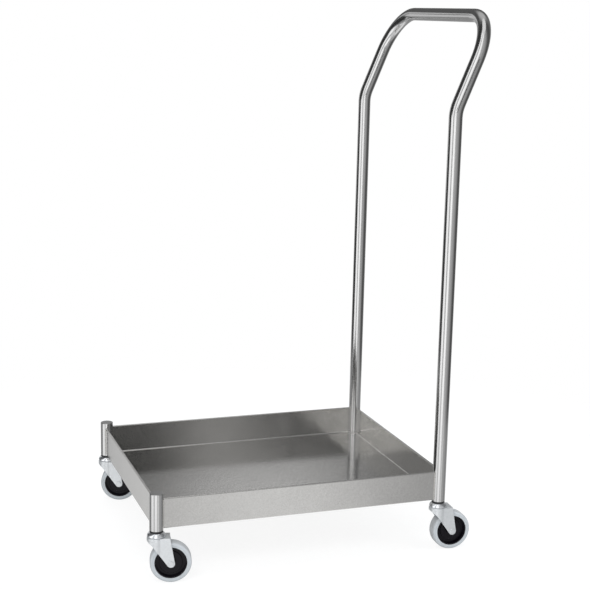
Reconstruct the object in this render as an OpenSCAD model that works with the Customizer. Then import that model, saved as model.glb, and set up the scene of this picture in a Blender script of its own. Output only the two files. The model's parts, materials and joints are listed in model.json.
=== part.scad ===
// Stool dolly: a double-skinned sheet tray between four corner tubes, of which the right-hand
// pair is one bent push handle, on four expanding-stem swivel casters.
// X runs along the tray towards the handle, Y across it, Z up from the ground.

/* [Frame tubes] */
// Distance between tube centres along the tray
leg_spacing_x = 560; // [460:5:700]
// Distance between tube centres across the tray
leg_spacing_y = 445; // [360:5:560]
// Outer diameter of the tubes
tube_d = 25.4; // [25:0.1:28]
// Wall of the tubes
tube_wall = 1.65; // [1.2:0.05:2]
// How far the short posts stand above the tray wall
post_rise = 8; // [4:0.5:30]
// Thickness of a post cap's head
cap_head = 1.5; // [1:0.1:3]
// Length of a post cap's spigot
cap_spigot = 8; // [4:0.5:20]
// Wall of a post cap's spigot
cap_wall = 1.4; // [1:0.1:3]
// Chamfer on a post cap's rim
cap_chamfer = 0.4; // [0.2:0.1:0.8]

/* [Tray] */
// Height of the tray from its underside to the top of its wall
tray_height = 59; // [40:1:90]
// Thickness of the tray's sheet
sheet = 2; // [1.2:0.1:2.4]
// Inner radius of the bend between floor and wall
bend_r = 2; // [1:0.25:4]
// How far the walls' inner faces stand outside the tube centres
wall_out = 1; // [0:0.25:2]
// Height of the outer skin's lower edge above the tray's underside
skin_rise = 3; // [2:0.5:8]
// Height of the tray's underside above the tube ends
tray_lift = 1; // [0.5:0.5:10]
// Radius of the weld beads
weld_r = 1.3; // [0.8:0.1:1.6]
// Angle about a tube between the floor's weld bead and the wall's bend
weld_stop = 2; // [1:0.5:10]
// Width of the floor's notch that the weld bead round a tube fills
weld_gap = 1.8; // [1.4:0.1:2.4]
// How far the floor's weld bead stands above the floor
weld_rise = 0.7; // [0.3:0.1:0.8]

/* [Push handle] */
// Overall height of the dolly
handle_height = 1034; // [900:2:1150]
// Height at which the handle's straight legs would meet its leaning part
knee_height = 850; // [700:5:880]
// Angle at which the handle's upper part leans out
lean = 22.5; // [10:0.5:35]
// Centre-line radius of the two knees
knee_r = 70; // [50:2:100]
// Centre-line radius of the two upper corners
corner_r = 85; // [50:2:100]

/* [Wheel] */
// Diameter of the wheel
wheel_d = 76.2; // [72:0.2:82]
// Width of the tyre
tyre_w = 24; // [20:0.5:25]
// Diameter of the hub under the tyre
hub_d = 59.4; // [52:0.2:62]
// Radius of the tyre's shoulders
shoulder_r = 4.5; // [2:0.25:6]
// How far the hub's rim sits in from the tyre's side
rim_inset = 1.4; // [0.5:0.1:3]
// Width of the hub's rim seen from the side
rim_w = 2.4; // [1.6:0.1:4]
// Diameter of the raised disc inside the rim
disc_d = 43; // [34:0.5:46]
// Thickness of the raised disc
disc_w = 15; // [10:0.5:18]
// Radius of the raised disc's edges
disc_edge_r = 1.2; // [0.5:0.1:2]
// Thickness of the hub's web between disc and rim
web_w = 10.5; // [6:0.5:12]
// Diameter of the hub's central boss
boss_d = 18; // [14:0.5:24]
// Height and half width of the ridge that keys the tyre to the hub
key = 1.3; // [0.8:0.1:2]
// Gap between the hub's boss and each fork arm
side_play = 0.8; // [0.4:0.1:1.5]

/* [Fork] */
// Gap between the two fork arms
fork_gap = 28; // [27:0.5:30]
// Thickness of the fork's sheet
fork_t = 2.4; // [2:0.1:3]
// How far the axle trails behind the swivel axis
trail = 26; // [22:0.5:30]
// How far the crown reaches behind the swivel axis
crown_back = 25; // [22:0.5:30]
// Radius of the fork's nose round the swivel axis
nose_r = 17.5; // [17.4:0.1:20]
// Outer bend radius between the crown and the skirt
crown_edge_r = 3; // [2.8:0.1:4]
// How far behind the nose the arms' slanted edge would meet the crown's underside
nose_cut = 1.3; // [0.5:0.1:4]
// How far the nose's skirt reaches below the crown's underside
nose_drop = 4.4; // [2:0.1:6]
// Angle of the skirt's lower edge to the ground, from the nose back to the arms
nose_slant = 39; // [30:1:45]
// Radius of the arms' rounded tips
tip_r = 7.2; // [6:0.1:8]
// Clearance between the wheel and the crown
crown_clear = 7.9; // [7.5:0.1:14]

/* [Swivel] */
// Diameter of the stem
stem_d = 9.5; // [8:0.5:10]
// Clear radius between the stem and the fork's crown
stem_clear = 1.4; // [0.5:0.1:2]
// Diameter of the domed top race
dome_d = 34; // [33:0.5:38]
// Height of the domed top race
dome_h = 7.7; // [4.8:0.1:8.5]
// Height of the dome's straight lip
dome_lip = 0.9; // [0.5:0.1:2]
// Diameter of the dome's flat top
dome_flat = 19; // [16:0.5:22]
// Thickness of the dome's sheet
dome_t = 1.6; // [1:0.1:2]
// Gap between the crown and each race
race_gap = 0.8; // [0.4:0.1:1.2]
// Diameter of the upper balls
ball_d = 4; // [3.6:0.1:4.2]
// Pitch radius of the upper balls
ball_ring_r = 11.5; // [11:0.1:12]
// Number of upper balls
ball_count = 16; // [8:1:16]
// Diameter of the lower balls
low_ball_d = 3.2; // [2.8:0.1:3.4]
// Pitch radius of the lower balls
low_ring_r = 9; // [8.8:0.1:9.2]
// Number of lower balls
low_ball_count = 14; // [8:1:14]
// How deep the balls sit in the crown's grooves
ball_sink = 0.45; // [0.3:0.05:0.6]
// Thickness of the lower race
low_race_t = 3.2; // [3:0.1:4]
// Diameter of the lower race
low_race_d = 24.4; // [24:0.2:27]
// Width across the corners of the stem's hexagonal head
stem_head_d = 14.4; // [13:0.2:16]
// Height of the stem's head
stem_head_h = 4; // [3:0.5:5]

/* [Stem sleeve] */
// Thickness of the rubber flange between race and tube
flange_t = 3.5; // [2:0.1:6]
// Diameter of the rubber flange
flange_d = 24.8; // [23.8:0.1:27]
// Length of the rubber sleeve inside the tube
sleeve_l = 36; // [24:1:50]
// Height of the expander's cone
cone_h = 8; // [5:0.5:12]
// Diameter at the thin end of the expander's cone
cone_d = 13; // [11.5:0.5:15]
// Clearance between the tube's bore and the thick end of the cone
cone_gap = 0.4; // [0.2:0.1:1]
// How deep the expander sits in the sleeve
cone_depth = 5; // [2:0.5:8]
// Width across the corners of the expander's nut
cone_nut_d = 17; // [13:0.5:20]
// Height of the expander's nut
cone_nut_h = 4; // [3:0.5:6]
// How far the stem stands out of the expander
stem_end = 2; // [1:0.5:5]

/* [Axle] */
// Diameter of the axle bolt
axle_d = 6.3; // [5:0.1:6.5]
// Wall of the spacer bush on the axle
bush_wall = 1.6; // [1:0.1:2]
// Diameter of the axle's round head
axle_head_d = 10; // [9:0.2:12]
// Height of the axle's round head
axle_head_h = 1.9; // [1.2:0.1:3]
// Width across the corners of the axle nut
axle_nut_d = 11.2; // [10:0.2:12.4]
// Height of the axle nut
axle_nut_h = 4; // [3:0.5:6]
// How far the axle stands out of its nut
axle_end = 1.2; // [0.5:0.1:3]

/* [Rest pose] */
// Direction in which the front left wheel trails
front_left_trail = -12; // [-180:1:180]
// Direction in which the front right wheel trails
front_right_trail = -3; // [-180:1:180]
// Direction in which the rear left wheel trails
rear_left_trail = -17; // [-180:1:180]
// Direction in which the rear right wheel trails
rear_right_trail = 10; // [-180:1:180]

/* [Hidden] */
$fn = 64;
// Clearance of a running fit, on the radius
run_fit = 0.05;
// Clearance between seated round faces, on the radius
seat_fit = 0.1;
// Clearance between the balls and the races that they roll under
roll_fit = 0.3;
// Gap between the tray's notches and the tubes
notch_fit = 0.15;
// Overlap of cutting shapes past the faces that they cut
cut = 1;
// Share of a knee's bend that each of its two overlapping halves covers
knee_share = 0.6;
// Sides of a ball's outline
ball_sides = 24;

tube_r = tube_d / 2;
bore_r = tube_r - tube_wall;
wheel_r = wheel_d / 2;
hub_r = hub_d / 2;
dome_r = dome_d / 2;
ball_r = ball_d / 2;
low_ball_r = low_ball_d / 2;
stem_r = stem_d / 2;
axle_r = axle_d / 2;
bush_r = axle_r + run_fit + bush_wall;
arm_out = fork_gap / 2 + fork_t;

// Heights of the caster's stack above the ground
crown_under = wheel_d + crown_clear;
crown_top = crown_under + fork_t;
dome_rim = crown_top + race_gap;
dome_top = dome_rim + dome_h;
tube_end = dome_top + flange_t;
ball_z = crown_top + ball_r - ball_sink;
low_ball_z = crown_under - low_ball_r + ball_sink;
low_race_top = crown_under - race_gap;
low_race_under = low_race_top - low_race_t;
sleeve_top = tube_end + sleeve_l;
cone_z = sleeve_top - cone_depth;
cone_top_r = bore_r - cone_gap;

// Heights of the tray and the posts
tray_under = tube_end + tray_lift;
wall_top = tray_under + tray_height;
post_top = wall_top + post_rise;

// The handle's upper part, measured along its lean from the knee's vertex
lean_length = (handle_height - tube_r - knee_height) / cos(lean);
knee_cut = knee_r * tan(lean / 2);
handle_reach = lean_length * sin(lean);

half_x = leg_spacing_x / 2;
half_y = leg_spacing_y / 2;
// The frame's middle in X, so that the origin is the middle of the whole box
middle_x = -(handle_reach + tube_r - nose_r) / 2;

corner_names = ["front_left", "front_right", "rear_left", "rear_right"];
corner_signs = [[-1, -1], [1, -1], [-1, 1], [1, 1]];
corner_trails = [front_left_trail, front_right_trail, rear_left_trail, rear_right_trail];
caster_pieces = [
    "sleeve", "expander", "stem", "top_race", "low_race", "fork", "balls",
    "axle", "axle_nut", "bush", "hub", "tyre"
];

stainless = [0.66, 0.66, 0.65];
zinc = [0.82, 0.84, 0.86];
bright = [0.75, 0.77, 0.8];
rubber = [0.12, 0.12, 0.12];
hub_black = [0.09, 0.08, 0.1];
tyre_grey = [0.74, 0.77, 0.8];

// The point where a line from p touches the circle about c, on the left (1) or right (-1)
function touch(p, c, r, side) =
    let (
        d = norm(c - p),
        reach = sqrt(d * d - r * r),
        a = atan2(c.y - p.y, c.x - p.x) + side * asin(r / d)
    )
    p + reach * [cos(a), sin(a)];

// Moves to a corner of the frame, on the ground below its tube
module at_corner(i) {
    translate([middle_x + corner_signs[i].x * half_x, corner_signs[i].y * half_y, 0])
        children();
}

// Turns a caster's swivelling part to its rest direction
module at_trail(i) {
    at_corner(i) rotate([0, 0, corner_trails[i]]) children();
}

// A solid of revolution about the axle, from a section of radius against width
module about_axle() {
    translate([trail, 0, wheel_r]) rotate([90, 0, 0]) rotate_extrude() children();
}

module ring(r_out, r_in, height) {
    difference() {
        cylinder(h = height, r = r_out);
        translate([0, 0, -cut]) cylinder(h = height + 2 * cut, r = r_in);
    }
}

// Tray

// Section of one wall and its bend; x is outwards from the tube centres, y is height
module wall_section() {
    outer_bend_r = bend_r + sheet;
    // Inner skin down to the bend
    translate([wall_out, tray_under + outer_bend_r])
        square([sheet, tray_height - outer_bend_r - sheet]);
    // Fold at the top
    translate([wall_out + sheet, wall_top - sheet]) circle(sheet);
    // Outer skin
    translate([wall_out + sheet, tray_under + skin_rise])
        square([sheet, tray_height - skin_rise - sheet]);
    // Bend to the floor
    translate([wall_out - bend_r, tray_under + outer_bend_r]) difference() {
        circle(outer_bend_r);
        circle(bend_r);
        translate([-2 * outer_bend_r, -outer_bend_r]) square(2 * outer_bend_r);
        translate([-outer_bend_r, 0]) square(2 * outer_bend_r);
    }
}

// One wall of the given length, along X and facing -Y at the given distance
module wall(length, distance) {
    translate([-length / 2, -distance, 0])
        rotate([90, 0, 90])
            linear_extrude(length) mirror([1, 0]) wall_section();
}

// The tray's bent sheet, notched round the four tubes
module tray_pan() {
    floor_x = half_x + wall_out - bend_r;
    floor_y = half_y + wall_out - bend_r;
    color(stainless) translate([middle_x, 0, 0]) difference() {
        union() {
            translate([-floor_x, -floor_y, tray_under])
                cube([2 * floor_x, 2 * floor_y, sheet]);
            for (turn = [0, 180]) {
                rotate([0, 0, turn]) wall(leg_spacing_x, half_y);
                rotate([0, 0, turn + 90]) wall(leg_spacing_y, half_x);
            }
        }
        for (sx = [-1, 1], sy = [-1, 1]) {
            translate([sx * half_x, sy * half_y, tray_under - cut])
                cylinder(h = tray_height + 2 * cut, r = tube_r + notch_fit);
            // Wider round the tubes in the flat floor only, where the weld fills it
            intersection() {
                translate([sx * half_x, sy * half_y, tray_under - cut])
                    cylinder(h = sheet + 2 * cut, r = tube_r + weld_gap);
                translate([-floor_x, -floor_y, tray_under - cut])
                    cube([2 * floor_x, 2 * floor_y, sheet + 2 * cut]);
            }
        }
    }
}

// Beads that join each wall's outer face to its tubes, and the floor to the tubes
module weld_beads() {
    skin_out = wall_out + 2 * sheet;
    seam_x = sqrt(tube_r * tube_r - skin_out * skin_out);
    bead_z = tray_under + skin_rise;
    bead_h = wall_top - sheet - bead_z;
    // The floor's bead ends short of the walls' bends
    arc_gap = asin((bend_r - wall_out) / tube_r) + weld_stop;
    arc_w = weld_gap - run_fit - seat_fit;
    color(stainless) for (i = [0 : 3]) at_corner(i)
        mirror([corner_signs[i].x < 0 ? 0 : 1, 0, 0])
            mirror([0, corner_signs[i].y < 0 ? 0 : 1, 0]) difference() {
                union() {
                    translate([seam_x, -skin_out, bead_z]) cylinder(h = bead_h, r = weld_r);
                    translate([-skin_out, seam_x, bead_z]) cylinder(h = bead_h, r = weld_r);
                }
                translate([0, 0, tray_under]) cylinder(h = tray_height, r = tube_r + run_fit);
                translate([0, -skin_out - run_fit, tray_under])
                    cube([half_x, skin_out, tray_height]);
                translate([-skin_out - run_fit, 0, tray_under])
                    cube([skin_out, half_y, tray_height]);
            }
    // The floor's beads fill the notches, and stand a little above the floor
    color(stainless) for (i = [0 : 3]) at_corner(i)
        mirror([corner_signs[i].x < 0 ? 0 : 1, 0, 0])
            mirror([0, corner_signs[i].y < 0 ? 0 : 1, 0])
                rotate([0, 0, arc_gap]) rotate_extrude(angle = 90 - 2 * arc_gap)
                    translate([tube_r + run_fit, tray_under]) {
                        square([arc_w, sheet + weld_rise - arc_w / 2]);
                        translate([arc_w / 2, sheet + weld_rise - arc_w / 2]) circle(arc_w / 2);
                    }
}

// Tubes

// A short corner post, open at both ends
module post() {
    color(stainless) translate([0, 0, tube_end]) ring(tube_r, bore_r, post_top - tube_end);
}

// A disc that closes a post, on a hollow spigot
module post_cap() {
    spigot_r = bore_r - run_fit;
    color(stainless) translate([0, 0, post_top]) rotate_extrude() difference() {
        union() {
            polygon([
                [0, 0], [tube_r, 0], [tube_r, cap_head - cap_chamfer],
                [tube_r - cap_chamfer, cap_head], [0, cap_head]
            ]);
            translate([0, -cap_spigot]) square([spigot_r, cap_spigot]);
        }
        translate([0, -cap_spigot - cut])
            square([spigot_r - cap_wall, cap_spigot + cut]);
    }
}

// One leg of the handle with its knee, corner and half of the crossbar, as a rod of radius r.
// Everything hangs on the knee's centre, so that neighbouring stretches share their end faces.
module handle_half(r) {
    leg = knee_height - knee_cut - tube_end;
    straight = lean_length - knee_cut - corner_r;
    translate([knee_r, -half_y, tube_end + leg]) {
        translate([-knee_r, 0, -leg]) cylinder(h = leg, r = r);
        knee_arc(r);
        rotate([0, lean, 0]) {
            mirror([0, 0, 1]) knee_arc(r);
            translate([-knee_r, 0, 0]) cylinder(h = straight, r = r);
            translate([-knee_r, corner_r, straight]) {
                rotate([90, 0, 90]) rotate_extrude(angle = -90) translate([-corner_r, 0]) circle(r);
                translate([0, 0, corner_r]) rotate([-90, 0, 0])
                    cylinder(h = half_y - corner_r, r = r);
            }
        }
    }
}

// A knee's bend from its lower end up, past the middle
module knee_arc(r) {
    rotate([90, 0, 180])
        rotate_extrude(angle = lean * knee_share) translate([knee_r, 0]) circle(r);
}

// The right-hand legs and the handle, one bent tube
module handle_tube() {
    color(stainless) translate([middle_x + half_x, 0, 0]) difference() {
        for (side = [0, 1]) mirror([0, side, 0]) handle_half(tube_r);
        for (side = [0, 1]) mirror([0, side, 0]) {
            handle_half(bore_r);
            translate([0, -half_y, tube_end - cut]) cylinder(h = 2 * cut, r = bore_r);
        }
    }
}

// Stem and swivel, which stay with the tube

// The rubber sleeve with its flange, and the seat of the expander in its mouth
module sleeve() {
    color(rubber) difference() {
        union() {
            translate([0, 0, dome_top]) cylinder(h = flange_t, d = flange_d);
            translate([0, 0, tube_end]) cylinder(h = sleeve_l, r = bore_r - seat_fit);
        }
        translate([0, 0, dome_top - cut])
            cylinder(h = flange_t + sleeve_l + 2 * cut, r = stem_r + seat_fit);
        expander_cone(seat_fit);
    }
}

// The expander's cone, grown by a gap
module expander_cone(gap) {
    translate([0, 0, cone_z])
        cylinder(h = cone_h, r1 = cone_d / 2 + gap, r2 = cone_top_r + gap);
}

// The cone that spreads the sleeve, with its hexagonal nut
module expander() {
    color(zinc) difference() {
        union() {
            expander_cone(0);
            translate([0, 0, cone_z + cone_h]) cylinder(h = cone_nut_h, d = cone_nut_d, $fn = 6);
        }
        translate([0, 0, cone_z - cut])
            cylinder(h = cone_h + cone_nut_h + 2 * cut, r = stem_r + run_fit);
    }
}

// The king bolt: hexagonal head below the lower race, shank up through the expander
module stem() {
    color(zinc) {
        translate([0, 0, low_race_under - stem_head_h])
            cylinder(h = stem_head_h, d = stem_head_d, $fn = 6);
        translate([0, 0, low_race_under])
            cylinder(h = cone_z + cone_h + cone_nut_h + stem_end - low_race_under, r = stem_r);
    }
}

// The domed race over the upper balls
module top_race() {
    flat_r = dome_flat / 2;
    // The shoulder's arc leaves the flat top level and meets the lip at its upper end
    drop = dome_h - dome_lip;
    run = dome_r - flat_r;
    arc_r = (run * run + drop * drop) / (2 * drop);
    color(bright) rotate_extrude() difference() {
        union() {
            translate([0, dome_rim]) square([flat_r, dome_h]);
            intersection() {
                translate([flat_r, dome_top - arc_r]) circle(arc_r);
                translate([flat_r, dome_rim]) square([run, dome_h]);
            }
        }
        // The hollow under the dome, left thick over the balls
        difference() {
            union() {
                translate([0, dome_rim - cut]) square([flat_r, dome_h - dome_t + cut]);
                intersection() {
                    translate([flat_r, dome_top - arc_r]) circle(arc_r - dome_t);
                    translate([flat_r, dome_rim - cut]) square([run, dome_h + cut]);
                }
            }
            translate([0, ball_z + ball_r / 2]) square([dome_r, dome_h]);
        }
        translate([ball_ring_r, ball_z]) circle(ball_r + roll_fit);
        translate([0, dome_rim - cut]) square([stem_r + run_fit, dome_h + 2 * cut]);
    }
}

// The race under the lower balls
module low_race() {
    color(zinc) rotate_extrude() difference() {
        translate([stem_r + run_fit, low_race_under])
            square([low_race_d / 2 - stem_r - run_fit, low_race_t]);
        translate([low_ring_r, low_ball_z]) circle(low_ball_r + roll_fit);
    }
}

// Fork and axle, which swivel

// A block from the middle out, with its upper outer corner rounded
module rounded_block(out, r, low, top) {
    translate([0, low]) square([out, top - r - low]);
    translate([0, low]) square([out - r, top - low]);
    translate([out - r, top - r]) circle(r);
}

// Side outline of the fork: slanted from the nose to the round tips, nearly upright behind
module fork_outline() {
    tip = [trail, wheel_r];
    nose_low = crown_under - nose_drop;
    front = [nose_cut - nose_r, crown_under];
    back = [crown_back, crown_under];
    front_touch = touch(front, tip, tip_r, -1);
    back_touch = touch(back, tip, tip_r, 1);
    polygon([
        front, front_touch, tip, back_touch, back, [crown_back, crown_top + cut],
        [-nose_r - cut, crown_top + cut], [-nose_r - cut, crown_under]
    ]);
    translate(tip) circle(tip_r);
    // The nose's skirt, which reaches lower than the arms' slanted edge does there
    polygon([
        [-nose_r - cut, nose_low], [-nose_r, nose_low], [0, nose_low - nose_r * tan(nose_slant)],
        [0, crown_top + cut], [-nose_r - cut, crown_top + cut]
    ]);
}

// The fork's form as a solid: a round nose and a bar behind it, both with a rounded top edge
module fork_form(nose, half_width, edge_r, low, top, back) {
    rotate_extrude() rounded_block(nose, edge_r, low, top);
    rotate([90, 0, 90]) linear_extrude(back) {
        rounded_block(half_width, edge_r, low, top);
        mirror([1, 0]) rounded_block(half_width, edge_r, low, top);
    }
}

// The stamped fork: grooved crown, round nose and two tapering arms
module fork() {
    low = wheel_r - tip_r - cut;
    color(zinc) difference() {
        intersection() {
            fork_form(nose_r, arm_out, crown_edge_r, low, crown_top, trail + tip_r);
            translate([0, arm_out * 2, 0]) rotate([90, 0, 0])
                linear_extrude(arm_out * 4) fork_outline();
        }
        fork_form(
            nose_r - fork_t, arm_out - fork_t, crown_edge_r - fork_t,
            low - cut, crown_under, trail + tip_r + cut
        );
        // Stem hole
        translate([0, 0, crown_under - cut])
            cylinder(h = fork_t + 2 * cut, r = stem_r + stem_clear);
        // Ball grooves above and below the crown
        rotate_extrude() translate([ball_ring_r, ball_z]) circle(ball_r + run_fit);
        rotate_extrude() translate([low_ring_r, low_ball_z]) circle(low_ball_r + run_fit);
        // Axle holes
        translate([trail, 0, wheel_r]) rotate([90, 0, 0])
            cylinder(h = arm_out * 4, r = axle_r + seat_fit, center = true);
    }
}

// Both rings of balls
module balls() {
    color(bright) {
        for (k = [0 : ball_count - 1])
            rotate([0, 0, k * 360 / ball_count]) translate([ball_ring_r, 0, ball_z])
                sphere(ball_r, $fn = ball_sides);
        for (k = [0 : low_ball_count - 1])
            rotate([0, 0, k * 360 / low_ball_count]) translate([low_ring_r, 0, low_ball_z])
                sphere(low_ball_r, $fn = ball_sides);
    }
}

// The axle bolt, with its round head on the near arm
module axle() {
    edge = axle_head_h / 2;
    color(zinc) translate([trail, 0, wheel_r]) rotate([-90, 0, 0]) {
        translate([0, 0, -arm_out])
            cylinder(h = 2 * arm_out + axle_nut_h + axle_end, r = axle_r);
        translate([0, 0, -arm_out - axle_head_h]) rotate_extrude() {
            translate([0, edge]) square([axle_head_d / 2, axle_head_h - edge]);
            square([axle_head_d / 2 - edge, axle_head_h]);
            translate([axle_head_d / 2 - edge, edge]) circle(edge);
        }
    }
}

module axle_nut() {
    color(zinc) translate([trail, arm_out, wheel_r]) rotate([-90, 0, 0]) difference() {
        cylinder(h = axle_nut_h, d = axle_nut_d, $fn = 6);
        translate([0, 0, -cut]) cylinder(h = axle_nut_h + 2 * cut, r = axle_r + run_fit);
    }
}

// The spacer that the arms clamp and the hub turns on
module bush() {
    color(zinc) translate([trail, fork_gap / 2, wheel_r]) rotate([90, 0, 0])
        ring(bush_r, axle_r + run_fit, fork_gap);
}

// Wheel

// A rectangle from one radius to another, centred across the wheel
module band(r_in, r_out, width) {
    translate([r_in, -width / 2]) square([r_out - r_in, width]);
}

// The same with its two outer corners rounded; nothing of it reaches inside r_in
module round_band(r_in, r_out, width, r) {
    intersection() {
        band(r_in, r_out, width);
        union() {
            band(r_in, r_out - r, width);
            band(r_in, r_out, width - 2 * r);
            for (side = [-1, 1]) translate([r_out - r, side * (width / 2 - r)]) circle(r);
        }
    }
}

module hub() {
    bore = bush_r + run_fit;
    rim_width = tyre_w - 2 * rim_inset;
    color(hub_black) about_axle() {
        band(bore, boss_d / 2, fork_gap - 2 * side_play);
        round_band(boss_d / 2, disc_d / 2, disc_w, disc_edge_r);
        band(disc_d / 2, hub_r - rim_w, web_w);
        band(hub_r - rim_w, hub_r, rim_width);
        band(hub_r, hub_r + key, 2 * key);
    }
}

module tyre() {
    inner = hub_r + seat_fit;
    color(tyre_grey) about_axle() difference() {
        round_band(inner, wheel_r, tyre_w, shoulder_r);
        // The groove that takes the hub's key
        band(inner - cut, hub_r + key + seat_fit, 2 * (key + seat_fit));
    }
}

tray_pan();
handle_tube();
at_corner(0) post();  // front_left_post
at_corner(2) post();  // rear_left_post
at_corner(0) post_cap();  // front_left_cap
at_corner(2) post_cap();  // rear_left_cap
weld_beads();
for (i = [0 : 3]) {
    at_corner(i) sleeve();
    at_corner(i) expander();
    at_corner(i) stem();
    at_corner(i) top_race();
    at_corner(i) low_race();
    at_trail(i) fork();
    at_trail(i) balls();
    at_trail(i) axle();
    at_trail(i) axle_nut();
    at_trail(i) bush();
    at_trail(i) hub();
    at_trail(i) tyre();
}
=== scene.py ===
"""Looks for the stool dolly: camera, white studio, and materials for each piece of the frame.

Lengths are in metres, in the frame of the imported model. X runs towards the push handle.
"""

import json
import math

import bpy
from mathutils import Matrix, Vector

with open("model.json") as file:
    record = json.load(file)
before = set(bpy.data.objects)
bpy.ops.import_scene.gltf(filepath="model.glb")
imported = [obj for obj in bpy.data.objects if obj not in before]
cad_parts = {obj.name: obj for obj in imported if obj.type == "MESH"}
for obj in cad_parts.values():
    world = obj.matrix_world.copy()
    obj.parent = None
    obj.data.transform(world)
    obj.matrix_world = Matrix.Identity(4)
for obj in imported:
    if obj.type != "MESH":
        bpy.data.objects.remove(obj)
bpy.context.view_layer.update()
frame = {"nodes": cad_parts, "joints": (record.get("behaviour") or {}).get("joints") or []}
nodes = frame["nodes"]

CORNERS = ("front_left", "front_right", "rear_left", "rear_right")

# Camera, fitted to the photograph's edges; its lens and sensor are in millimetres
CAMERA_PLACE = (-0.85695, -2.4899, 1.0205)
CAMERA_YAW = math.radians(19.425)
CAMERA_PITCH = math.radians(11.765)
CAMERA_ROLL = math.radians(-1.293)
CAMERA_LENS = 82.94
CAMERA_SENSOR = 36.0
CAMERA_NEAR = 0.05
CAMERA_FAR = 50.0
# Its direction as seen from the object
CAMERA_BEARING = math.atan2(CAMERA_PLACE[1], CAMERA_PLACE[0])

# Light
WHITE = (1.0, 1.0, 1.0)
AMBIENT_COLOUR = (0.9, 0.95, 1.0)
AMBIENT_STRENGTH = 0.55
LAMP_AIM = (0.0, 0.0, 0.3)
# Name, place, side and watts of each square lamp
LAMPS = (
    ("key", (-1.8, -2.2, 2.6), 1.6, 42.0),
    ("fill", (2.2, -1.6, 2.0), 1.6, 24.0),
    ("top", (0.0, 0.4, 3.0), 2.0, 26.0),
)

# Floor, a disc of white paper
FLOOR_RADIUS = 1.25
FLOOR_FADE_START = 0.85
FLOOR_TONE = 0.82
# A glow over the paper, and its share in what is seen; the rest shows the paper and its shadow
FLOOR_GLOW = 1.11
FLOOR_GLOW_SHARE = 0.78
# Share of the floor that reflections in the metal see; the rest looks through it
FLOOR_IN_METAL = 0.25

# Studio wall, a cylinder round the object
WALL_RADIUS = 3.0
WALL_LOW = -4.0
WALL_HIGH = 9.0
# Straight sides of the floor's disc and of the wall
ROUND_SIDES = 96
# The wall's colours are shares of this brightness
WALL_PEAK = 2.0
# Degrees to the right of the camera, and brightness there
WALL_LEVELS = (
    (-180, 0.05), (-100, 0.04), (-84, 0.06), (-72, 1.40), (-44, 1.40), (-36, 0.52),
    (-24, 0.52), (-18, 1.47), (6, 1.47), (14, 0.62), (45, 0.48), (65, 0.32),
    (80, 0.12), (105, 0.09), (135, 0.25), (180, 0.10),
)
# Heights, and brightness there behind the object
BACKDROP_LEVELS = (
    (-1.0, 0.35), (0.2, 0.35), (0.44, 0.50), (1.32, 0.50),
    (1.64, 0.12), (3.2, 0.12), (4.4, 0.60), (5.0, 0.60),
)
# How far the backdrop takes the place of the levels round the studio, by bearing
BEHIND_SHARES = ((-180, 1.0), (-150, 1.0), (-125, 0.0), (125, 0.0), (150, 1.0), (180, 1.0))
# Panels and flags, each over those before it:
# middle bearing, half width and soft edge; low end, high end and soft edge; brightness
PATCHES = (
    # Both softboxes are dimmer low down, so that a tray wall that faces them isn't lost in white
    ((-6.0, 17.0, 4.0), (-4.2, -1.0, 0.2), 0.80),
    ((-58.0, 17.0, 4.0), (-4.2, -0.92, 0.2), 0.85),
    # To the right of the camera: what the tray's front wall sees past the floor
    ((34.5, 6.0, 4.5), (-2.4, -0.6, 0.15), 0.88),
    ((53.0, 8.5, 4.0), (-2.4, -0.6, 0.15), 0.25),
    # The same side higher up: what the inside of the back wall sees
    ((34.0, 14.0, 3.0), (0.94, 1.7, 0.05), 0.02),
    ((18.0, 6.0, 2.5), (0.94, 1.18, 0.05), 0.02),
    ((44.0, 5.0, 2.5), (0.94, 1.7, 0.05), 0.05),
    ((34.8, 2.8, 2.4), (0.94, 1.7, 0.05), 0.60),
    ((39.5, 6.0, 3.0), (1.23, 1.7, 0.03), 0.62),
    # Left and behind: the crossbar's bright line, the left wall, the inside of the right wall
    ((-144.0, 12.0, 4.0), (0.2, 1.7, 0.2), 0.75),
    ((-149.0, 6.5, 2.5), (-2.2, -0.4, 0.15), 0.38),
    ((-138.5, 4.0, 2.5), (-2.2, -0.4, 0.15), 0.74),
    ((-145.0, 3.5, 1.5), (1.0, 1.32, 0.04), 0.55),
    ((-139.0, 3.8, 2.2), (0.98, 1.36, 0.04), 0.16),
    # Left of the camera and high: the dark edge along the leaning part of the handle
    ((-74.0, 12.0, 4.0), (1.0, 6.0, 0.3), 0.06),
    # Straight behind: what the tray's floor sees
    ((-178.5, 16.0, 3.0), (1.0, 1.5, 0.05), 0.20),
    ((-178.5, 6.0, 5.0), (1.0, 1.5, 0.05), 0.46),
    ((-178.5, 6.0, 5.0), (1.17, 1.7, 0.04), 0.62),
    # Near the camera: what the tray's far right corner sees
    ((0.2, 7.6, 1.0), (0.95, 1.42, 0.05), 0.50),
    ((-1.9, 1.3, 1.0), (1.07, 1.15, 0.03), 7.0),
)

# Metal; here and below, grain, dimples, clouds and speckle are given in features per metre
METAL_CLOUDS = 18.0
# Share of the dimples in its mottled tone; the rest is its clouds
DIMPLE_SHARE = 0.6
# The sheet's fine speckle along each axis, and its share on upright faces
SPECKLE_GRAIN = (600.0, 130.0, 600.0)
UPRIGHT_SPECKLE = 0.2
# A noise texture's values lie mostly between these two
NOISE_LOW = 0.3
NOISE_HIGH = 0.7

# Moulded rubber and plastic
MOULDED_GRAIN = 900.0
MOULDED_CLOUDS = 40.0
MOULDED_MOTTLE = 0.08
MOULDED_GLOSS_SPREAD = 0.06

# Tyre
# The tread's colour is darker than the sides': painted shade, blended in by the way each face turns
TYRE_SIDE_COLOUR = (0.60, 0.628, 0.648)
TYRE_TREAD_PAINTED_SHADE_COLOUR = (0.53, 0.545, 0.555)
TYRE_ROUGHNESS = 0.48
TYRE_CLOUDS = 60.0
TYRE_MOTTLE = 0.04
TYRE_GRAIN_DEPTH = 0.00002
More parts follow.
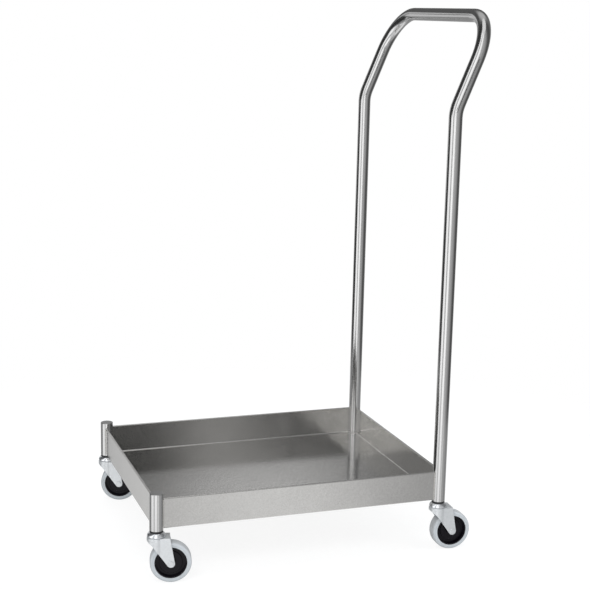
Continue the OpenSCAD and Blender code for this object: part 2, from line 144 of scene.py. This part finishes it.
# The mould's rings on its sides: their pitch, the swing of their height, and that of their tone
TYRE_RING_PITCH = 0.0042
TYRE_RING_DEPTH = 0.00002
TYRE_RING_TONE = 0.015
# A face square to the axle has 1: below the first value it is tread, and above the second a side
TYRE_TREAD_FACING = 0.4
TYRE_SIDE_FACING = 0.9


def add_camera():
    """A camera without shift or depth of field, at the photograph's viewing angle."""
    forward = Vector((
        math.sin(CAMERA_YAW) * math.cos(CAMERA_PITCH),
        math.cos(CAMERA_YAW) * math.cos(CAMERA_PITCH),
        -math.sin(CAMERA_PITCH),
    ))
    level_right = Vector((math.cos(CAMERA_YAW), -math.sin(CAMERA_YAW), 0.0))
    level_down = forward.cross(level_right)
    right = math.cos(CAMERA_ROLL) * level_right + math.sin(CAMERA_ROLL) * level_down
    down = -math.sin(CAMERA_ROLL) * level_right + math.cos(CAMERA_ROLL) * level_down
    turn = Matrix((right, -down, -forward)).transposed()
    data = bpy.data.cameras.new("camera")
    data.lens = CAMERA_LENS
    data.sensor_width = CAMERA_SENSOR
    data.clip_start = CAMERA_NEAR
    data.clip_end = CAMERA_FAR
    camera = bpy.data.objects.new("camera", data)
    camera.matrix_world = Matrix.Translation(CAMERA_PLACE) @ turn.to_4x4()
    bpy.context.scene.collection.objects.link(camera)
    bpy.context.scene.camera = camera


# Node helpers


def opaque(colour):
    """A colour with full alpha; a single number stands for a grey."""
    return (*colour, 1.0) if isinstance(colour, tuple) else (colour, colour, colour, 1.0)


class Tree:
    """Short names for building a node tree; most of them make a node and give its output."""

    def __init__(self, tree):
        self.tree = tree
        tree.nodes.clear()

    def feed(self, socket, value):
        """Links a socket to another node's output, or sets it to a value."""
        if isinstance(value, bpy.types.NodeSocket):
            self.tree.links.new(value, socket)
        elif socket.type == "RGBA":
            socket.default_value = opaque(value)
        else:
            socket.default_value = value

    def outputs(self, kind, inputs=None, **settings):
        """All outputs of a new node; an input is a value or another node's output."""
        made = self.tree.nodes.new(kind)
        for name, value in settings.items():
            setattr(made, name, value)
        for name, value in (inputs or {}).items():
            self.feed(made.inputs[name], value)
        return made.outputs

    def math(self, operation, *values):
        return self.outputs("ShaderNodeMath", dict(enumerate(values)), operation=operation)[0]

    def plus(self, first, second):
        return self.math("ADD", first, second)

    def times(self, first, second):
        return self.math("MULTIPLY", first, second)

    def larger(self, first, second):
        return self.math("MAXIMUM", first, second)

    def direction(self, degrees):
        """The same direction between -180 and 180 degrees."""
        return self.math("WRAP", degrees, 180.0, -180.0)

    def vector_math(self, operation, *vectors):
        made = self.outputs("ShaderNodeVectorMath", dict(enumerate(vectors)), operation=operation)
        return made["Value" if operation in ("LENGTH", "DOT_PRODUCT") else "Vector"]

    def scaled(self, vector, factor):
        return self.outputs("ShaderNodeVectorMath", {0: vector, "Scale": factor}, operation="SCALE")[0]

    def split(self, vector):
        return self.outputs("ShaderNodeSeparateXYZ", {0: vector})

    def map_range(self, value, start, end, low, high, interpolation="LINEAR"):
        """Low at start and high at end, and held beyond them; start may lie above end."""
        return self.outputs("ShaderNodeMapRange", {
            "Value": value, "From Min": start, "From Max": end, "To Min": low, "To Max": high,
        }, interpolation_type=interpolation)[0]

    def ease(self, value, start, end):
        """A smooth step from 0 at start to 1 at end."""
        return self.map_range(value, start, end, 0.0, 1.0, "SMOOTHSTEP")

    def spread(self, noise, middle, half):
        """Noise stretched to lie between middle - half and middle + half."""
        return self.map_range(noise, NOISE_LOW, NOISE_HIGH, middle - half, middle + half)

    def profile(self, value, points, peak=1.0):
        """Straight lines through (place, level) pairs in order of place, as shares of the peak."""
        start, end = points[0][0], points[-1][0]
        made = self.tree.nodes.new("ShaderNodeValToRGB")
        self.feed(made.inputs["Fac"], self.map_range(value, start, end, 0.0, 1.0))
        elements = made.color_ramp.elements
        while len(elements) > 1:
            elements.remove(elements[-1])
        elements[0].position = 0.0
        elements[0].color = opaque(points[0][1] / peak)
        for place, level in points[1:]:
            elements.new((place - start) / (end - start)).color = opaque(level / peak)
        return made.outputs["Color"]

    def blend(self, factor, first, second):
        """First colour at factor 0 and second at 1."""
        # A Mix node's colours come after the sockets of its other types
        inputs = {0: factor, 6: first, 7: second}
        return self.outputs("ShaderNodeMix", inputs, data_type="RGBA")[2]

    def noise(self, features, detail=3.0, roughness=0.5):
        """Noise with about so many features per metre, or a tuple of how many along each axis."""
        scale = features if isinstance(features, tuple) else (features, features, features)
        place = self.outputs("ShaderNodeTexCoord")["Object"]
        return self.outputs("ShaderNodeTexNoise", {
            "Vector": self.outputs("ShaderNodeMapping", {"Vector": place, "Scale": scale})[0],
            "Scale": 1.0, "Detail": detail, "Roughness": roughness,
        })["Fac"]

    def emission(self, colour, strength):
        return self.outputs("ShaderNodeEmission", {"Color": colour, "Strength": strength})[0]

    def background(self, colour, strength):
        return self.outputs("ShaderNodeBackground", {"Color": colour, "Strength": strength})[0]

    def mix_shader(self, factor, first, second):
        return self.outputs("ShaderNodeMixShader", {0: factor, 1: first, 2: second})[0]

    def finish(self, shader):
        self.outputs("ShaderNodeOutputMaterial", {"Surface": shader})

    def finish_surface(self, relief, inputs):
        """Ends a material with a surface; relief is the height of its bump in metres."""
        normal = self.outputs("ShaderNodeBump", {"Height": relief, "Strength": 1.0, "Distance": 1.0})[0]
        self.finish(self.outputs("ShaderNodeBsdfPrincipled", {**inputs, "Normal": normal})[0])


def new_material(name):
    made = bpy.data.materials.new(name)
    made.use_nodes = True
    return made, Tree(made.node_tree)


def light_paths(tree):
    """Light Path's outputs, and 1 for camera, glossy and transmission rays, which see the white."""
    path = tree.outputs("ShaderNodeLightPath")
    seen = tree.larger(path["Is Camera Ray"], path["Is Glossy Ray"])
    return path, tree.larger(seen, path["Is Transmission Ray"])


# World and lamps


def add_world():
    """White behind everything, and a plainer level of light for the object."""
    world = bpy.data.worlds.new("world")
    bpy.context.scene.world = world
    world.use_nodes = True
    tree = Tree(world.node_tree)
    seen = light_paths(tree)[1]
    ambient = tree.background(AMBIENT_COLOUR, AMBIENT_STRENGTH)
    white = tree.background(WHITE, 1.0)
    tree.outputs("ShaderNodeOutputWorld", {"Surface": tree.mix_shader(seen, ambient, white)})


def add_lamp(name, place, side, watts):
    """A square lamp that lights the object but isn't seen, in reflections either."""
    data = bpy.data.lights.new(name, "AREA")
    data.shape = "SQUARE"
    data.size = side
    data.energy = watts
    lamp = bpy.data.objects.new(name, data)
    lamp.location = place
    lamp.rotation_euler = (Vector(LAMP_AIM) - Vector(place)).to_track_quat("-Z", "Y").to_euler()
    bpy.context.scene.collection.objects.link(lamp)
    lamp.visible_glossy = False
    lamp.visible_camera = False


# Floor and studio wall


def add_mesh(name, vertices, faces, material):
    mesh = bpy.data.meshes.new(name)
    mesh.from_pydata(vertices, [], faces)
    mesh.materials.append(material)
    made = bpy.data.objects.new(name, mesh)
    bpy.context.scene.collection.objects.link(made)
    return made


def circle(radius, z):
    """Points round the Z axis."""
    turns = [2 * math.pi * k / ROUND_SIDES for k in range(ROUND_SIDES)]
    return [(radius * math.cos(turn), radius * math.sin(turn), z) for turn in turns]


def floor_material():
    """White paper that keeps a soft shadow, fades into the white world and is clear from below."""
    material, tree = new_material("floor_paper")
    path, seen = light_paths(tree)
    geometry = tree.outputs("ShaderNodeNewGeometry")
    paper = tree.outputs("ShaderNodeBsdfDiffuse", {"Color": FLOOR_TONE})[0]
    glow = tree.emission(WHITE, FLOOR_GLOW)
    lit = tree.mix_shader(tree.times(seen, FLOOR_GLOW_SHARE), paper, glow)
    fade = tree.ease(tree.vector_math("LENGTH", geometry["Position"]), FLOOR_FADE_START, FLOOR_RADIUS)
    in_metal = tree.times(path["Is Glossy Ray"], 1.0 - FLOOR_IN_METAL)
    from_below = tree.times(geometry["Backfacing"], path["Is Camera Ray"])
    clear = tree.outputs("ShaderNodeBsdfTransparent")[0]
    tree.finish(tree.mix_shader(tree.larger(tree.larger(fade, in_metal), from_below), lit, clear))
    return material


def add_floor():
    floor = add_mesh("floor", circle(FLOOR_RADIUS, 0.0), [tuple(range(ROUND_SIDES))], floor_material())


def wall_material():
    """What metal sees round the studio: softboxes near the camera, grey panels, dark flags."""
    material, tree = new_material("studio_wall")
    place = tree.split(tree.outputs("ShaderNodeNewGeometry")["Position"])
    height = place["Z"]
    turn = tree.math("SUBTRACT", tree.math("ARCTAN2", place["Y"], place["X"]), CAMERA_BEARING)
    bearing = tree.direction(tree.math("DEGREES", turn))
    around = tree.profile(bearing, WALL_LEVELS, WALL_PEAK)
    backdrop = tree.profile(height, BACKDROP_LEVELS, WALL_PEAK)
    level = tree.blend(tree.profile(bearing, BEHIND_SHARES), around, backdrop)
    for (middle, half, side_edge), (low, high, end_edge), brightness in PATCHES:
        off = tree.math("ABSOLUTE", tree.direction(tree.math("SUBTRACT", bearing, middle)))
        across = tree.ease(off, half + side_edge, half - side_edge)
        below = tree.ease(height, high + end_edge, high - end_edge)
        above = tree.ease(height, low - end_edge, low + end_edge)
        share = tree.times(across, tree.times(below, above))
        level = tree.blend(share, level, brightness / WALL_PEAK)
    tree.finish(tree.emission(level, WALL_PEAK))
    return material


def add_wall():
    """A wall that only reflections see; the camera sees the white world."""
    faces = []
    for k in range(ROUND_SIDES):
        after = (k + 1) % ROUND_SIDES
        faces.append((k, k + ROUND_SIDES, after + ROUND_SIDES, after))
    points = circle(WALL_RADIUS, WALL_LOW) + circle(WALL_RADIUS, WALL_HIGH)
    wall = add_mesh("studio_wall", points, faces, wall_material())
    wall.visible_camera = False
    wall.visible_diffuse = False
    wall.visible_transmission = False
    wall.visible_shadow = False


# Materials


def speckled(tree, shade, swing):
    """Adds speckle to a tone: long across the tray, and fainter on faces that stand upright."""
    normal = tree.outputs("ShaderNodeTexCoord")["Normal"]
    lying = tree.math("ABSOLUTE", tree.split(normal)["Z"])
    share = tree.plus(tree.times(lying, 1.0 - UPRIGHT_SPECKLE), UPRIGHT_SPECKLE)
    speckle = tree.spread(tree.noise(SPECKLE_GRAIN, detail=1.0), 0.0, swing)
    return tree.times(shade, tree.plus(tree.times(speckle, share), 1.0))


def metal(name, colour, roughness, grain, grain_depth, mottle=0.05, gloss_spread=0.05,
          dimples=260.0, dimple_depth=0.0, speckle=0.0, metallic=1.0):
    """Bare or plated metal: grain and dimples in its bump, dimples and clouds in its tone."""
    material, tree = new_material(name)
    fine = tree.noise(grain, detail=4.0, roughness=0.6)
    pitted = tree.noise(dimples, detail=1.0)
    cloud = tree.noise(METAL_CLOUDS, detail=2.0)
    blotch = tree.plus(tree.times(pitted, DIMPLE_SHARE), tree.times(cloud, 1.0 - DIMPLE_SHARE))
    shade = tree.spread(blotch, 1.0, mottle)
    if speckle:
        shade = speckled(tree, shade, speckle)
    relief = tree.plus(tree.times(fine, grain_depth), tree.times(pitted, dimple_depth))
    tree.finish_surface(relief, {
        "Base Color": tree.scaled(colour, shade), "Metallic": metallic,
        "Roughness": tree.spread(fine, roughness, gloss_spread),
    })
    return material


def moulded(name, colour, roughness, grain_depth, specular=0.5):
    """Moulded rubber or plastic, with a fine texture and slight wear in its gloss."""
    material, tree = new_material(name)
    fine = tree.noise(MOULDED_GRAIN, detail=4.0)
    cloud = tree.noise(MOULDED_CLOUDS)
    tree.finish_surface(tree.times(fine, grain_depth), {
        "Base Color": tree.scaled(colour, tree.spread(cloud, 1.0, MOULDED_MOTTLE)),
        "Roughness": tree.spread(cloud, roughness, MOULDED_GLOSS_SPREAD),
        "Specular IOR Level": specular,
    })
    return material


def tyre_rubber(corner):
    """Grey rubber with a painted shade that darkens its tread, and the mould's rings on its sides."""
    material, tree = new_material(f"{corner}_grey_tyre")
    axle = next(joint for joint in frame["joints"] if joint["name"] == f"{corner}_wheel_spin")
    point = tree.outputs("ShaderNodeTexCoord")
    arm = tree.vector_math("SUBTRACT", point["Object"], axle["pos_m"])
    radius = tree.vector_math("LENGTH", tree.vector_math("CROSS_PRODUCT", arm, axle["axis"]))
    facing = tree.vector_math("DOT_PRODUCT", point["Normal"], axle["axis"])
    # Share of side faces; towards the tread the colour turns to the painted shade
    side = tree.ease(tree.math("ABSOLUTE", facing), TYRE_TREAD_FACING, TYRE_SIDE_FACING)
    wave = tree.math("SINE", tree.times(radius, 2 * math.pi / TYRE_RING_PITCH))
    ring = tree.times(wave, side)
    fine = tree.noise(MOULDED_GRAIN, detail=4.0)
    cloud = tree.noise(TYRE_CLOUDS)
    ring_shade = tree.plus(tree.times(ring, TYRE_RING_TONE), 1.0)
    shade = tree.times(tree.spread(cloud, 1.0, TYRE_MOTTLE), ring_shade)
    relief = tree.plus(tree.times(fine, TYRE_GRAIN_DEPTH), tree.times(ring, TYRE_RING_DEPTH))
    # Tread and sides blended by facing: the tread's darker grey is painted shade
    tree.finish_surface(relief, {
        "Base Color": tree.scaled(tree.blend(side, TYRE_TREAD_PAINTED_SHADE_COLOUR, TYRE_SIDE_COLOUR), shade),
        "Roughness": tree.spread(cloud, TYRE_ROUGHNESS, MOULDED_GLOSS_SPREAD),
    })
    return material


def paint(material, *names):
    """Gives CAD nodes a material."""
    for name in names:
        for slot in nodes[name].material_slots:
            slot.material = material


def paint_frame():
    """The tray, the tubes with their caps, and the weld beads."""
    sheet = metal(
        "brushed_sheet", (0.603, 0.597, 0.584), roughness=0.14, gloss_spread=0.03, mottle=0.06,
        grain=(140.0, 900.0, 900.0), grain_depth=0.000003, dimples=340.0, dimple_depth=0.000004,
        speckle=0.16,
    )
    tube = metal(
        "brushed_tube", (0.62, 0.62, 0.62), roughness=0.16, gloss_spread=0.02, mottle=0.02,
        grain=(500.0, 500.0, 40.0), grain_depth=0.0000006,
    )
    weld = metal("dressed_weld", (0.56, 0.55, 0.53), roughness=0.3, grain=400.0, grain_depth=0.00004)
    paint(sheet, "tray_pan")
    paint(tube, "handle_tube", "front_left_post", "rear_left_post", "front_left_cap", "rear_left_cap")
    paint(weld, "weld_beads")


def paint_casters():
    """The twelve pieces of each caster."""
    zinc = metal(
        "zinc_plate", (0.74, 0.76, 0.775), roughness=0.45, grain=500.0, grain_depth=0.00001,
        metallic=0.7,
    )
    bolt = metal("bolt_plate", (0.66, 0.68, 0.71), roughness=0.26, grain=500.0, grain_depth=0.00001)
    bright = metal(
        "bright_plate", (0.84, 0.86, 0.89), roughness=0.17, grain=300.0, grain_depth=0.000002,
        metallic=0.9,
    )
    black = moulded("black_rubber", (0.02, 0.02, 0.022), roughness=0.6, grain_depth=0.00003)
    hub = moulded(
        "hub_plastic", (0.005, 0.004, 0.007), roughness=0.2, grain_depth=0.000006, specular=0.18,
    )
    finishes = {
        "sleeve": black, "expander": bolt, "stem": bolt, "top_race": bright, "low_race": bolt,
        "fork": zinc, "balls": bright, "axle": zinc, "axle_nut": bolt, "bush": bolt, "hub": hub,
    }
    for corner in CORNERS:
        for piece, material in finishes.items():
            paint(material, f"{corner}_{piece}")
        paint(tyre_rubber(corner), f"{corner}_tyre")


add_camera()
add_world()
add_floor()
add_wall()
for lamp in LAMPS:
    add_lamp(*lamp)
paint_frame()
paint_casters()

bpy.context.scene.view_settings.view_transform = "Standard"
